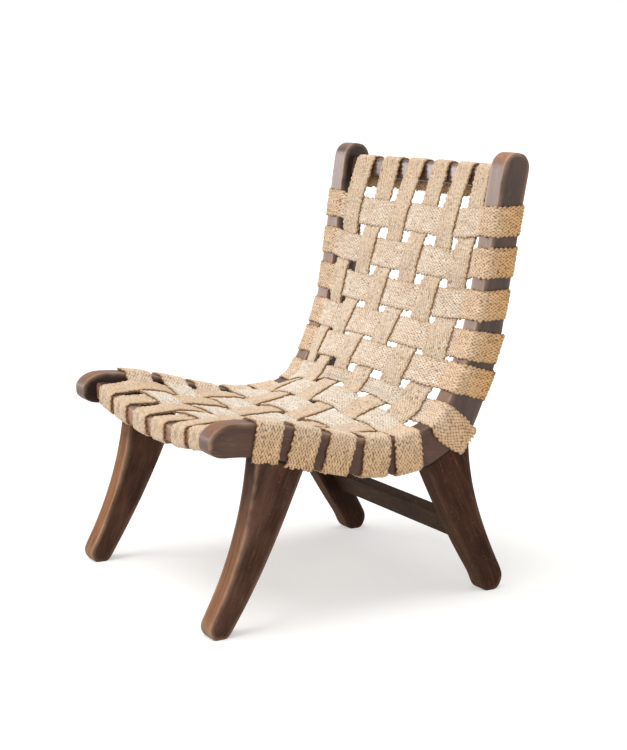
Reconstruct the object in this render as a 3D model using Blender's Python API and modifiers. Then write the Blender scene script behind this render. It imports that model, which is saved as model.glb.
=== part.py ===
"""Low lounge chair: two bent side frames on sabre legs, three cross members and woven webbing."""

import math

import bmesh
import bpy
import numpy as np
from mathutils import Matrix, Vector

# Sizes in metres. X runs across the chair, Y from the front feet to the back, Z up.
GAP = 0.0003
HALF_WIDTH = 0.280
BOARD = 0.040
CHAMFER = 0.0035
CHAMFER_ANGLE = 45
# Turns of each side frame in degrees: its outward lean, and its toe, inwards to the back
LEAN_ANGLE = 2.405
TOE_ANGLE = -2.119

# Upper edge of a side frame, from the nose to the top of the back: (Y, Z), and its headings in degrees
NOSE_TOP = (0.025, 0.357)
SEAT_SLOPE = (0.199, 0.3245)
SEAT_LOW = (0.345, 0.3016)
BEND = (0.430, 0.3332)
BACK_MID = (0.5007, 0.5136)
BACK_TOP = (0.5382, 0.7502)
EDGE_HEADINGS = (0.0, -15.6, 3.7, 58.3, 79.9, 79.3)
# Depth of the side frame, square to that edge
NOSE_DEPTH = 0.056
SEAT_DEPTH = 0.062
BEND_DEPTH = 0.072
BACK_DEPTH = 0.054
# Rounded nose: reach in front of NOSE_TOP, drop from the top to the tip, reach of its lower part
NOSE_REACH = 0.0425
NOSE_DROP = 0.032
NOSE_CHIN = 0.0295

# Each leg: where its top starts and ends along the frame's edge, its heel, its toe, and the ends of its sole
FRONT_LEG_TOP = (0.0535, 0.154)
FRONT_HEEL = (0.0363, 0.0215)
FRONT_TOE = (-0.0102, 0.0239)
FRONT_SOLE = (0.001, 0.014)
REAR_LEG_TOP = (0.3678, 0.417)
REAR_HEEL = (0.5707, 0.0333)
REAR_TOE = (0.5180, 0.0315)
REAR_SOLE = (0.541, 0.555)
# Headings of a leg's edges in degrees: rear edge at its top and heel, front edge at the toe and its top
FRONT_LEG_TURNS = (-113.0, -123.0, 60.0, 86.0)
REAR_LEG_TURNS = (-88.0, -61.4, 123.0, 115.5)

# Dowels between the legs and the frame, and the loose tongue in the bend
DOWEL_RADIUS = 0.005
DOWEL_DEPTH = 0.020
DOWEL_SHARES = (0.28, 0.62)
TONGUE_THICK = 0.012
TONGUE_WIDE = 0.026
TONGUE_DEPTH = 0.018

# Cross members: centre, size front to back, height; and their tilts from upright in degrees
FRONT_RAIL = (0.022, 0.326, 0.028, 0.032)
TOP_RAIL = (0.5605, 0.7258, 0.020, 0.038)
STRETCHER = (0.5135, 0.1088, 0.022, 0.0447)
FRONT_RAIL_ANGLE = 0.0
TOP_RAIL_ANGLE = 10.5
STRETCHER_ANGLE = -25.0
FRONT_RAIL_DIP = 0.0235
TOP_RAIL_BOW = 0.020
RAIL_ROUND = 0.006
STRETCHER_ROUND = 0.002
TENON_LENGTH = 0.022
TENON_SHOULDER = 0.006
TENON_ROOT = 0.0055

# Webbing: straps front to back, evenly spread with a space beside each side frame, and straps across,
# each held at its place along the frame's edge
STRAP_WIDTH = 0.051
STRAP_THICK = 0.003
LONG_COUNT = 6
RIM_SPACE = 0.0195
CROSS_AT = (0.0634, 0.1409, 0.2078, 0.2803, 0.3403, 0.4155, 0.4851, 0.5452, 0.6151, 0.6871, 0.7591)
WEAVE_GAP = 0.0012
# The webbing hangs off the frames' edges: where along the edge, how deep it sinks beside the frames, and how
# much deeper in the middle, or how much higher, below 0, where it is drawn straight across the bend
SINK_AT = (0.100, 0.290, 0.355, 0.447, 0.600, 0.830)
RIM_SINK = (0.011, 0.006, 0.005, 0.004, 0.004, 0.0125)
DISH = (FRONT_RAIL_DIP, -0.012, -0.036, -0.041, -0.017, TOP_RAIL_BOW)
# Cross straps that meet a leg end on the outer face of the frame, the others turn under it
ENDS_ON_FACE = (1, 2, 6)
BACK_STRAPS = range(7, 12)
BACK_STRAP_RISE = 0.009
CROSS_TUCK = 0.030
FRONT_TUCK = 0.020
TOP_TAIL = 0.012

LIFT = GAP + STRAP_THICK / 2
CROSSING = (STRAP_THICK + WEAVE_GAP) / 2
INNER = HALF_WIDTH - BOARD
LONG_PITCH = 2 * (INNER - RIM_SPACE - STRAP_WIDTH / 2) / (LONG_COUNT - 1)
LEAN = math.tan(math.radians(LEAN_ANGLE))
TOE = math.tan(math.radians(TOE_ANGLE))
SPAN_STEPS = 40
LEG_STEPS = 9
FOOT_STEPS = 5
NOSE_STEPS = 6
CROWN_STEPS = 9
ROD_SIDES = 12
SHARP_ANGLE = 30


def sweep(start, start_heading, end, end_heading, steps):
    """Points of a smooth curve between two points with a heading in degrees at each."""
    start, end = np.array(start, float), np.array(end, float)
    chord = np.linalg.norm(end - start)
    leave = chord * np.array((math.cos(math.radians(start_heading)), math.sin(math.radians(start_heading))))
    arrive = chord * np.array((math.cos(math.radians(end_heading)), math.sin(math.radians(end_heading))))
    t = np.linspace(0, 1, steps + 1)[:, None]
    smooth = t * t * (3 - 2 * t)
    return (1 - smooth) * start + smooth * end + t * (1 - t) ** 2 * leave - t * t * (1 - t) * arrive


def frame_edge():
    """The side frame's upper edge as fine points, each point's distance along it and its depth."""
    marks = (NOSE_TOP, SEAT_SLOPE, SEAT_LOW, BEND, BACK_MID, BACK_TOP)
    depths = (NOSE_DEPTH, SEAT_DEPTH, SEAT_DEPTH, BEND_DEPTH, BACK_DEPTH, BACK_DEPTH)
    points = [np.array((marks[0],))]
    for i in range(len(marks) - 1):
        points.append(sweep(marks[i], EDGE_HEADINGS[i], marks[i + 1], EDGE_HEADINGS[i + 1], SPAN_STEPS)[1:])
    points = np.vstack(points)
    along = np.concatenate(([0], np.cumsum(np.linalg.norm(np.diff(points, axis=0), axis=1))))
    deep = np.interp(along, along[::SPAN_STEPS], depths)
    return points, along, deep


EDGE, ALONG, DEEP = frame_edge()
HEADING = np.gradient(EDGE, ALONG, axis=0)


def on_frame(s, up=0.0, down=0.0):
    """(y, z) at distance s along the edge, up square to it, and down by a share of the frame's depth."""
    point = np.array([np.interp(s, ALONG, EDGE[:, i]) for i in (0, 1)])
    heading = np.array([np.interp(s, ALONG, HEADING[:, i]) for i in (0, 1)])
    heading /= np.linalg.norm(heading)
    normal = np.array((-heading[1], heading[0]))
    return point + normal * (up - down * np.interp(s, ALONG, DEEP))


def strap_rows(k):
    """Four places along the edge, across the width of cross strap k."""
    return [CROSS_AT[k - 1] + STRAP_WIDTH * share for share in (-1 / 2, -1 / 6, 1 / 6, 1 / 2)]


BEND_JOINT = strap_rows(6)[2]


def places(first, last, rise=0.0):
    """Both limits and every strap row between them, so that all pieces share their facets."""
    shift = [rise if k in BACK_STRAPS else 0 for k in range(1, len(CROSS_AT) + 1)]
    rows = [s + up for k, up in enumerate(shift, 1) for s in strap_rows(k)]
    return [first] + [s for s in rows if first + GAP < s < last - GAP] + [last]


def arc(centre, across, upward, first, last, steps):
    """Points of an elliptical arc, with its two radii along Y and Z."""
    turns = [math.radians(first + (last - first) * i / steps) for i in range(steps + 1)]
    return [(centre[0] + across * math.cos(a), centre[1] + upward * math.sin(a)) for a in turns]


def rounded(member, tilt, radius, grow=0.0, cut=1):
    """Outline of a tilted rectangle with rounded corners, grown all round by grow."""
    y, z, thick, tall = member
    half = (thick / 2 + grow - radius, tall / 2 + grow - radius)
    corners = ((1, 1, 0), (-1, 1, 90), (-1, -1, 180), (1, -1, 270))
    flat = [p for i, j, a in corners for p in arc((i * half[0], j * half[1]), radius, radius, a, a + 90, cut)]
    c, s = math.cos(math.radians(tilt)), math.sin(math.radians(tilt))
    return [(y + c * u + s * v, z - s * u + c * v) for u, v in flat]


def prism(outline, low, high):
    """A (y, z) outline extruded along X."""
    bm = bmesh.new()
    face = bm.faces.new([bm.verts.new((low, y, z)) for y, z in outline])
    grown = bmesh.ops.extrude_face_region(bm, geom=[face])["geom"]
    moved = [v for v in grown if isinstance(v, bmesh.types.BMVert)]
    bmesh.ops.translate(bm, vec=(high - low, 0, 0), verts=moved)
    bmesh.ops.recalc_face_normals(bm, faces=bm.faces)
    return bm


def ease(bm, sharp):
    """Chamfers the long edges of a board, except along the (y, z) segments that meet another piece."""
    mids = [Vector((0, *(np.array(a) + np.array(b)) / 2)) for a, b in zip(sharp, sharp[1:])]
    chosen = []
    for edge in bm.edges:
        sides = sorted(abs(face.normal.x) for face in edge.link_faces)
        mid = (edge.verts[0].co + edge.verts[1].co) / 2
        mid.x = 0
        if sides[0] < 0.5 < sides[1] and all((mid - m).length > GAP for m in mids):
            chosen.append(edge)
    bmesh.ops.bevel(bm, geom=chosen, offset=CHAMFER, segments=1, affect="EDGES", clamp_overlap=True)


def splay(mesh):
    """Leans and toes the straight-built chair: every width grows with height and shrinks to the back."""
    for vert in mesh.vertices:
        vert.co.x *= 1 + (LEAN * vert.co.z + TOE * vert.co.y) / HALF_WIDTH


def made(name, bm, collection):
    mesh = bpy.data.meshes.new(name)
    bm.to_mesh(mesh)
    bm.free()
    splay(mesh)
    obj = bpy.data.objects.new(name, mesh)
    collection.objects.link(obj)
    return obj


def piece(name, bm, material):
    obj = made(name, bm, parts)
    obj.data.materials.append(material)
    obj.data.shade_smooth()
    obj.data.set_sharp_from_angle(angle=math.radians(SHARP_ANGLE))
    obj.parent = chair
    return obj


def combine(target, bm, operation):
    """A helper solid cut from a piece, or joined to it."""
    helper = made(f"{target.name}.{operation.lower()}.{len(target.modifiers)}", bm, helpers)
    helper.hide_render = True
    helper.display_type = "WIRE"
    helper.parent = chair
    modifier = target.modifiers.new(operation.title(), "BOOLEAN")
    modifier.operation = operation
    modifier.solver = "EXACT"
    modifier.object = helper


def rod(foot, top, side, radius):
    """A dowel between two (y, z) points in the middle of a side frame's thickness."""
    x = side * (HALF_WIDTH - BOARD / 2)
    a, b = Vector((x, *foot)), Vector((x, *top))
    turn = (b - a).to_track_quat("Z", "Y").to_matrix().to_4x4()
    bm = bmesh.new()
    bmesh.ops.create_cone(
        bm, cap_ends=True, segments=ROD_SIDES, radius1=radius, radius2=radius,
        depth=(b - a).length, matrix=Matrix.Translation((a + b) / 2) @ turn,
    )
    return bm


def surface(rows, material, name):
    """A strap: a grid of middle-surface points given its thickness."""
    rows = np.array(rows)
    count, wide = rows.shape[:2]
    bm = bmesh.new()
    grid = [[bm.verts.new(p) for p in row] for row in rows]
    for i in range(count - 1):
        for j in range(wide - 1):
            bm.faces.new((grid[i][j], grid[i + 1][j], grid[i + 1][j + 1], grid[i][j + 1]))
    bmesh.ops.triangulate(bm, faces=bm.faces, quad_method="FIXED")
    obj = piece(name, bm, material)
    solid = obj.modifiers.new("Thickness", "SOLIDIFY")
    solid.thickness = STRAP_THICK
    solid.offset = 0
    solid.use_even_offset = True
    return obj


def between(side, low, high):
    """The X limits of something in a side frame, for either side."""
    return sorted((side * low, side * high))


def seat_rail(side, label):
    rows = places(0, BEND_JOINT - GAP)
    top = [on_frame(s) for s in rows]
    under = [on_frame(s, down=1) for s in reversed(rows)]
    tip = NOSE_TOP[1] - NOSE_DROP
    chin_y = NOSE_TOP[0] - NOSE_REACH + NOSE_CHIN
    chin = arc((chin_y, tip), NOSE_CHIN, NOSE_DEPTH - NOSE_DROP, 270, 180, NOSE_STEPS)
    brow = arc((NOSE_TOP[0], tip), NOSE_REACH, NOSE_DROP, 180, 90, NOSE_STEPS)
    bm = prism(top + under + chin + brow[1:-1], *between(side, INNER, HALF_WIDTH))
    ease(bm, [top[-1], under[0]])
    return piece(f"seat_rail_{label}", bm, wood)


def back_post(side, label):
    end = ALONG[-1]
    front = [on_frame(s) for s in places(BEND_JOINT + GAP, end)]
    rear = [on_frame(s, down=1) for s in reversed(places(BEND_JOINT + GAP, end, BACK_STRAP_RISE))]
    crown = on_frame(end, down=0.5)
    turn = EDGE_HEADINGS[-1]
    cap = arc(crown, BACK_DEPTH / 2, BACK_DEPTH / 2, turn + 90, turn - 90, CROWN_STEPS)
    bm = prism(front + cap[1:-1] + rear, *between(side, INNER, HALF_WIDTH))
    ease(bm, [rear[-1], front[0]])
    return piece(f"back_post_{label}", bm, wood)


def leg(name, side, limits, heel, toe, sole, turns):
    """A sabre leg: its top follows the frame's lower edge, its foot is rounded before and behind the sole."""
    top = [on_frame(s, up=-GAP, down=1) for s in places(*limits)]
    rear = sweep(top[-1], turns[0], heel, turns[1], LEG_STEPS)
    heel_round = sweep(heel, turns[1], (sole[1], 0), -180, FOOT_STEPS)
    toe_round = sweep((sole[0], 0), 180, toe, turns[2], FOOT_STEPS)
    front = sweep(toe, turns[2], top[0], turns[3], LEG_STEPS)
    outline = top + list(rear[1:]) + list(heel_round[1:]) + list(toe_round) + list(front[1:-1])
    bm = prism(outline, *between(side, INNER, HALF_WIDTH))
    ease(bm, top)
    return piece(name, bm, wood)


def dowels(foot, rail, limits, side):
    """Two dowels across the joint between a leg and the frame above it, each with its holes."""
    for number, share in enumerate(DOWEL_SHARES, 1):
        s = limits[0] + share * (limits[1] - limits[0])
        ends = [on_frame(s, up=reach, down=1) for reach in (-DOWEL_DEPTH, DOWEL_DEPTH)]
        holes = [on_frame(s, up=reach, down=1) for reach in (-DOWEL_DEPTH - GAP, DOWEL_DEPTH + GAP)]
        piece(f"{foot.name}_dowel_{number}", rod(*ends, side, DOWEL_RADIUS), beech)
        for target in (foot, rail):
            combine(target, rod(*holes, side, DOWEL_RADIUS + GAP), "DIFFERENCE")


def bend_tongue(rail, post, side, label):
    """The loose tongue that joins the seat rail to the back post inside the bend."""
    middle = on_frame(BEND_JOINT, down=0.5)
    top = on_frame(BEND_JOINT)
    lean = math.degrees(math.atan2(top[0] - middle[0], top[1] - middle[1]))
    plate = (*middle, 2 * TONGUE_DEPTH, TONGUE_WIDE)
    centre = HALF_WIDTH - BOARD / 2
    for grow in (0, GAP):
        half = TONGUE_THICK / 2 + grow
        limits = between(side, centre - half, centre + half)
        if grow == 0:
            piece(f"bend_tongue_{label}", prism(rounded(plate, lean, CHAMFER), *limits), beech)
            continue
        for target in (rail, post):
            combine(target, prism(rounded(plate, lean, CHAMFER, grow), *limits), "DIFFERENCE")


def arch(x):
    """Share of a rail's curve at a place across the chair: 1 in the middle, 0 at the side frames."""
    return 1 - min(1, abs(x) / INNER) ** 2


def cross_member(name, member, tilt, radius, sides, back=0.0, dip=0.0):
    """A rail between the side frames, curved back or down, with a tenon at each end in a mortise."""
    half = INNER - GAP
    bm = prism(rounded(member, tilt, radius, cut=2), -half, half)
    for x in [x for j in range(1, LONG_COUNT + 1) for x in long_sides(j) if back or dip]:
        whole = bm.verts[:] + bm.edges[:] + bm.faces[:]
        bmesh.ops.bisect_plane(bm, geom=whole, plane_co=(x, 0, 0), plane_no=(1, 0, 0))
    for vert in bm.verts:
        vert.co.y += back * arch(vert.co.x)
        vert.co.z -= dip * arch(vert.co.x)
    rail = piece(name, bm, wood)
    y, z, thick, tall = member
    tenon = (y, z, thick - 2 * TENON_SHOULDER, tall - 2 * TENON_SHOULDER)
    for side, target in sides:
        inside = between(side, half - TENON_ROOT, half + TENON_LENGTH)
        combine(rail, prism(rounded(tenon, tilt, GAP), *inside), "UNION")
        slot = between(side, half - TENON_ROOT, half + TENON_LENGTH + GAP)
        combine(target, prism(rounded(tenon, tilt, GAP, GAP), *slot), "DIFFERENCE")
    return rail


def long_sides(j):
    """X of both edges of long strap j, counted from the chair's right side."""
    middle = (j - (LONG_COUNT + 1) / 2) * LONG_PITCH
    return middle - STRAP_WIDTH / 2, middle + STRAP_WIDTH / 2


def over(j, k):
    """+1 where long strap j passes over cross strap k, else -1."""
    return 1 if (j + k) % 2 == 0 else -1


def around(member, tilt, radius, first, last):
    """Points round a rail at half a strap's thickness off it, corner by corner, anticlockwise."""
    outline = rounded(member, tilt, radius + LIFT, LIFT, cut=2)
    return [outline[i % len(outline)] for i in range(first, last)]


def woven(x, s, level):
    """A point of the webbing between the frames: level is 1 on a crossing's upper strap, -1 on its lower."""
    sink = np.interp(s, SINK_AT, RIM_SINK) + np.interp(s, SINK_AT, DISH) * arch(x)
    return (x, *on_frame(s, LIFT + level * CROSSING - sink))


def long_strap(j):
    """One strap from behind the front rail, over the seat and up the back, over the top rail."""
    front = around(FRONT_RAIL, FRONT_RAIL_ANGLE, RAIL_ROUND, 2, 12)
    tail = (FRONT_RAIL[0] + FRONT_RAIL[2] / 2 + LIFT, FRONT_RAIL[1] - FRONT_RAIL[3] / 2 + FRONT_TUCK)
    top = around(TOP_RAIL, TOP_RAIL_ANGLE, RAIL_ROUND, 0, 6)
    lean = math.radians(TOP_RAIL_ANGLE)
    down = TOP_RAIL[3] + TOP_TAIL
    hang = (top[0][0] - down * math.sin(lean), top[0][1] - down * math.cos(lean))
    sides = long_sides(j)
    rows = [[(x, y, z - FRONT_RAIL_DIP * arch(x)) for x in sides] for y, z in [tail] + front[::-1]]
    for k in range(1, len(CROSS_AT) + 1):
        rows += [[woven(x, s, over(j, k)) for x in sides] for s in strap_rows(k)]
    rows += [[(x, y + TOP_RAIL_BOW * arch(x), z) for x in sides] for y, z in top[::-1] + [hang]]
    return surface(rows, webbing, f"long_strap_{j}")


def strap_end(k, side):
    """Rows of a cross strap from the inner side of a frame's edge, over the edge and down the outer face."""
    s_rows = strap_rows(k)
    turn = LIFT * math.tan(math.radians(CHAMFER_ANGLE / 2))
    outer = HALF_WIDTH + LIFT
    over_edge = [(INNER + CHAMFER - turn, LIFT), (HALF_WIDTH - CHAMFER + turn, LIFT), (outer, turn - CHAMFER)]
    rows = [[(side * x, *on_frame(s, up)) for s in s_rows] for x, up in over_edge]
    if k in ENDS_ON_FACE:
        middle = CROSS_AT[k - 1]
        end = on_frame(middle, CHAMFER, 1)
        heading = np.array([np.interp(middle, ALONG, HEADING[:, i]) for i in (0, 1)])
        return rows + [[(side * outer, *(end + heading * (s - middle))) for s in s_rows]]
    rise = BACK_STRAP_RISE if k in BACK_STRAPS else 0
    tucked = HALF_WIDTH - CROSS_TUCK
    under_edge = [(outer, CHAMFER - turn), (HALF_WIDTH - CHAMFER + turn, -LIFT), (tucked, -LIFT)]
    return rows + [[(side * x, *on_frame(s + rise, up, 1)) for s in s_rows] for x, up in under_edge]


def cross_strap(k):
    """One strap across the chair: woven between the long straps, over both side frames and down."""
    rows = strap_end(k, -1)[::-1]
    for j in range(1, LONG_COUNT + 1):
        rows += [[woven(x, s, -over(j, k)) for s in strap_rows(k)] for x in long_sides(j)]
    return surface(rows + strap_end(k, 1), webbing, f"cross_strap_{k:02d}")


def finish(name, colour, roughness):
    material = bpy.data.materials.new(name)
    material.use_nodes = True
    shader = material.node_tree.nodes["Principled BSDF"]
    shader.inputs["Base Color"].default_value = (*colour, 1)
    shader.inputs["Roughness"].default_value = roughness
    shader.inputs["Metallic"].default_value = 0
    material.diffuse_color = (*colour, 1)
    return material


for old in list(bpy.data.objects):
    bpy.data.objects.remove(old)
parts = bpy.data.collections.new("lounge_chair")
helpers = bpy.data.collections.new("helpers")
for group in (parts, helpers):
    bpy.context.scene.collection.children.link(group)
chair = bpy.data.objects.new("chair", None)
parts.objects.link(chair)
wood = finish("dark_stained_wood", (0.068, 0.036, 0.024), 0.45)
beech = finish("hidden_joinery_wood", (0.42, 0.27, 0.15), 0.7)
webbing = finish("jute_webbing", (0.60, 0.45, 0.29), 0.95)

built = []
for side, label in ((1, "left"), (-1, "right")):
    rail = seat_rail(side, label)
    post = back_post(side, label)
    front = leg(f"front_leg_{label}", side, FRONT_LEG_TOP, FRONT_HEEL, FRONT_TOE, FRONT_SOLE, FRONT_LEG_TURNS)
    rear = leg(f"rear_leg_{label}", side, REAR_LEG_TOP, REAR_HEEL, REAR_TOE, REAR_SOLE, REAR_LEG_TURNS)
    dowels(front, rail, FRONT_LEG_TOP, side)
    dowels(rear, rail, REAR_LEG_TOP, side)
    bend_tongue(rail, post, side, label)
    built.append((side, rail, post, rear))
noses = [(side, rail) for side, rail, post, rear in built]
posts = [(side, post) for side, rail, post, rear in built]
rear_legs = [(side, rear) for side, rail, post, rear in built]
cross_member("front_rail", FRONT_RAIL, FRONT_RAIL_ANGLE, RAIL_ROUND, noses, dip=FRONT_RAIL_DIP)
cross_member("top_rail", TOP_RAIL, TOP_RAIL_ANGLE, RAIL_ROUND, posts, back=TOP_RAIL_BOW)
cross_member("rear_stretcher", STRETCHER, STRETCHER_ANGLE, STRETCHER_ROUND, rear_legs)
for j in range(1, LONG_COUNT + 1):
    long_strap(j)
for k in range(1, len(CROSS_AT) + 1):
    cross_strap(k)

# The chair stands with the middle of its footprint box at the origin.
reach = [v.co.y for obj in parts.objects if obj.type == "MESH" for v in obj.data.vertices]
chair.location.y = -(min(reach) + max(reach)) / 2
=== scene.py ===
"""Low lounge chair: bent side frames on sabre legs, with a seat and back of woven jute webbing."""

import math

import bpy
import numpy as np
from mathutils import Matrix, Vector


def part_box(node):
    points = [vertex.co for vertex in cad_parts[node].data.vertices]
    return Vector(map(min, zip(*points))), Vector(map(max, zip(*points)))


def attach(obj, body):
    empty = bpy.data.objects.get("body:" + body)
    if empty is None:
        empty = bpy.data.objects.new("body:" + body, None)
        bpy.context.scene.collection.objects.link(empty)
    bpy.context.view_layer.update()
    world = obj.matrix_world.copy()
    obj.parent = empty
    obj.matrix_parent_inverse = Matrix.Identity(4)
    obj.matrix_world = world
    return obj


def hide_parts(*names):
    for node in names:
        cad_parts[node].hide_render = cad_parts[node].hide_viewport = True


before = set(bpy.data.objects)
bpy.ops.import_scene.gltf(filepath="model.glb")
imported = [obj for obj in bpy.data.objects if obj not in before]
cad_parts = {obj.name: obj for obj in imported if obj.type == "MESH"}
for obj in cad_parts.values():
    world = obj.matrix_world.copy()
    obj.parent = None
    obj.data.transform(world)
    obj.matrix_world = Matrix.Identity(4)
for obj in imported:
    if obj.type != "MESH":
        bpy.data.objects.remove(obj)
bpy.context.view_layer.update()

# Side frames. Each is a seat rail with a rounded nose and a back post with a rounded top, sawn from 40 mm
# hardwood boards, joined inside the bend and planed flush. They lean out to the top and toe in to the back.
HALF_WIDTH = 0.280
BOARD = 0.040
INNER = HALF_WIDTH - BOARD
LEAN = math.tan(math.radians(2.405))
TOE = math.tan(math.radians(-2.119))
ARRIS = 0.0042
# The upper edge seen from the side: its marks, its heading at each in degrees, and the board's depth there
EDGE_MARKS = ((0.025, 0.357), (0.199, 0.3245), (0.345, 0.3016),
              (0.430, 0.3332), (0.5007, 0.5136), (0.5382, 0.7502))
EDGE_HEADINGS = (0.0, -15.6, 3.7, 58.3, 79.9, 79.3)
EDGE_DEPTHS = (0.056, 0.062, 0.062, 0.072, 0.054, 0.054)
NOSE_REACH = 0.0425
NOSE_DROP = 0.032
NOSE_CHIN = 0.0295
BEND_JOINT = 0.424
JOINT_GAP = 0.0001
ON_LINE = 0.00001
# Y counts from the soles of the front feet, as the frame's nose tells
SOLE_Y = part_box("seat_rail_left")[0].y - (EDGE_MARKS[0][0] - NOSE_REACH)


def sweep(start, start_heading, end, end_heading, steps):
    """Points of a smooth curve between two points with a heading in degrees at each."""
    start, end = np.array(start, float), np.array(end, float)
    chord = np.linalg.norm(end - start)
    leave = chord * np.array((math.cos(math.radians(start_heading)), math.sin(math.radians(start_heading))))
    arrive = chord * np.array((math.cos(math.radians(end_heading)), math.sin(math.radians(end_heading))))
    t = np.linspace(0, 1, steps + 1)[:, None]
    smooth = t * t * (3 - 2 * t)
    return (1 - smooth) * start + smooth * end + t * (1 - t) ** 2 * leave - t * t * (1 - t) * arrive


SPAN_STEPS = 40
spans = [sweep(EDGE_MARKS[i], EDGE_HEADINGS[i], EDGE_MARKS[i + 1], EDGE_HEADINGS[i + 1], SPAN_STEPS)
         for i in range(len(EDGE_MARKS) - 1)]
EDGE = np.vstack([spans[0][:1]] + [span[1:] for span in spans])
ALONG = np.concatenate(([0], np.cumsum(np.linalg.norm(np.diff(EDGE, axis=0), axis=1))))
DEEP = np.interp(ALONG, ALONG[::SPAN_STEPS], EDGE_DEPTHS)
HEADING = np.gradient(EDGE, ALONG, axis=0)


def on_frame(s, up):
    """(y, z) at distances s along the frames' upper edge and up square to it."""
    point = np.stack([np.interp(s, ALONG, EDGE[:, i]) for i in (0, 1)], -1)
    heading = np.stack([np.interp(s, ALONG, HEADING[:, i]) for i in (0, 1)], -1)
    heading /= np.linalg.norm(heading, axis=-1, keepdims=True)
    normal = np.stack((-heading[..., 1], heading[..., 0]), -1)
    return point + normal * np.asarray(up)[..., None]


def under(s):
    """(y, z) on the frames' lower edge."""
    return on_frame(s, -np.interp(s, ALONG, DEEP))


def splayed(points):
    """Leans and toes points of the straight-built chair, and brings them to the chair's place."""
    grown = 1 + (LEAN * points[..., 2] + TOE * points[..., 1]) / HALF_WIDTH
    return np.stack((points[..., 0] * grown, points[..., 1] + SOLE_Y, points[..., 2]), -1)


def points_of(mesh):
    points = np.empty(len(mesh.vertices) * 3)
    mesh.vertices.foreach_get("co", points)
    return points.reshape(-1, 3)


def set_attribute(mesh, name, values):
    attribute = mesh.attributes.new(name, "FLOAT", "POINT")
    attribute.data.foreach_set("value", np.asarray(values, np.float32).ravel())


def joint_edges(mesh, upper, lower):
    """Edges of a plank's first end, which lies between two points."""
    points = points_of(mesh)[:, 1:] - upper
    along = (lower - upper) / np.linalg.norm(lower - upper)
    off = np.abs(points[:, 0] * along[1] - points[:, 1] * along[0])
    return [edge for edge in mesh.edges if max(off[i] for i in edge.vertices) < ON_LINE]


SHARP = math.radians(55)
OUTLINE_STEPS = 8
# How far in from the arrises their wear and painted highlight reach
ARRIS_REACH = 0.008
SCUFF_HEIGHT = 0.03
# The rise over which painted shade comes in on a front above its rubbed height
FRONT_SHADE_RISE = 0.06
# Scuffs and rubbed spots are at full strength well inside their reach
SCUFF_FULL = 1.2
RUB_FULL = 1.4


def off_outline(points, outline):
    """Distance of each point from an outline, seen from the side."""
    share = np.linspace(0, 1, OUTLINE_STEPS, endpoint=False)[None, :, None]
    fine = (outline[:-1, None] * (1 - share) + outline[1:, None] * share).reshape(-1, 2)
    return np.linalg.norm(points[:, None, 1:] - fine[None], axis=2).min(axis=1)


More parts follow.
